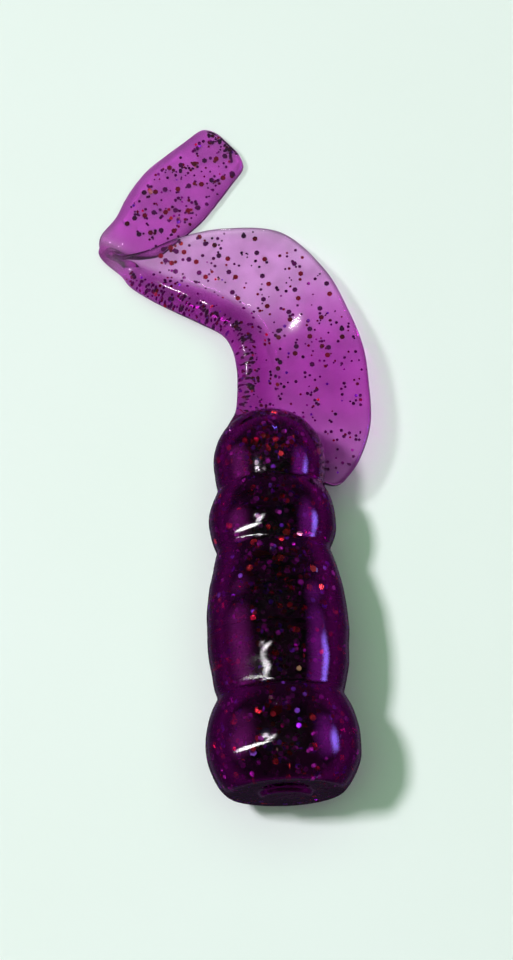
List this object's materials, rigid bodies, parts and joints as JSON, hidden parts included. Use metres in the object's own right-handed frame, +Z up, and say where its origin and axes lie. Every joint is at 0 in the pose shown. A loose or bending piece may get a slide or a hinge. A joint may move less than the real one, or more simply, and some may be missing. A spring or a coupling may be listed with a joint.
{
  "type": "soft plastic grub bait",
  "caption": "Soft translucent fishing grub with a bulged, waisted body full of glitter and a thin webbed ribbon tail, folded over at a paddle tip, that bends, flaps and curls.",
  "frame": {"origin": "The centre of the flat that the nose rests on, on the floor, below the widest section of the nose.", "axes": "+Z is up from the floor, +Y runs along the body from the nose to the tail, +X is to the right in the picture, the side that the web of the tail is on."},
  "size_m": [0.0216, 0.0571, 0.012],
  "materials": {
    "purple_plastisol": "translucent gloss",
    "red_glitter": "metallic film",
    "violet_glitter": "metallic film"
  },
  "bodies": {
    "nose": {"nose_segment": "purple_plastisol", "front_neck": "purple_plastisol", "nose_red_flakes": "red_glitter", "nose_violet_flakes": "violet_glitter"},
    "barrel": {"barrel_segment": "purple_plastisol", "middle_neck": "purple_plastisol", "barrel_red_flakes": "red_glitter", "barrel_violet_flakes": "violet_glitter"},
    "ring": {"ring_segment": "purple_plastisol", "ring_red_flakes": "red_glitter", "ring_violet_flakes": "violet_glitter"},
    "dome": {"rear_neck": "purple_plastisol", "tail_dome": "purple_plastisol", "tail_root": "purple_plastisol", "tail_hinge": "purple_plastisol", "dome_red_flakes": "red_glitter", "dome_violet_flakes": "violet_glitter"},
    "tail": {"tail_spine": "purple_plastisol", "tail_web": "purple_plastisol", "tail_fold": "purple_plastisol", "web_red_flakes": "red_glitter", "web_violet_flakes": "violet_glitter"},
    "tip": {"tail_tip": "purple_plastisol", "tip_red_flakes": "red_glitter", "tip_violet_flakes": "violet_glitter"}
  },
  "joints": [
    {"name": "front_waist_bend", "type": "hinge", "parent": "nose", "child": "barrel", "pos_m": [0, 0.00399, 0.00567], "axis": [0, 0, 1], "range_deg": [-15, 15], "stiffness_Nm_per_rad": 0.012, "deforming": ["front_neck"]},
    {"name": "middle_waist_bend", "type": "hinge", "parent": "barrel", "child": "ring", "pos_m": [0, 0.01597, 0.00498], "axis": [0, 0, 1], "range_deg": [-15, 15], "stiffness_Nm_per_rad": 0.008, "deforming": ["middle_neck"]},
    {"name": "rear_waist_bend", "type": "hinge", "parent": "ring", "child": "dome", "pos_m": [0, 0.02107, 0.00469], "axis": [0, 0, 1], "range_deg": [-12, 12], "stiffness_Nm_per_rad": 0.006, "deforming": ["rear_neck"]},
    {"name": "tail_flap", "type": "hinge", "parent": "dome", "child": "tail", "pos_m": [0, 0.02975, 0.00388], "axis": [1, 0, 0], "range_deg": [-30, 60], "stiffness_Nm_per_rad": 0.001, "deforming": ["tail_hinge"]},
    {"name": "tip_curl", "type": "hinge", "parent": "tail", "child": "tip", "pos_m": [-0.01129, 0.0422, 0.00165], "axis": [0, 0, 1], "range_deg": [0, 75], "stiffness_Nm_per_rad": 0.0001, "deforming": ["tail_fold"]}
  ]
}
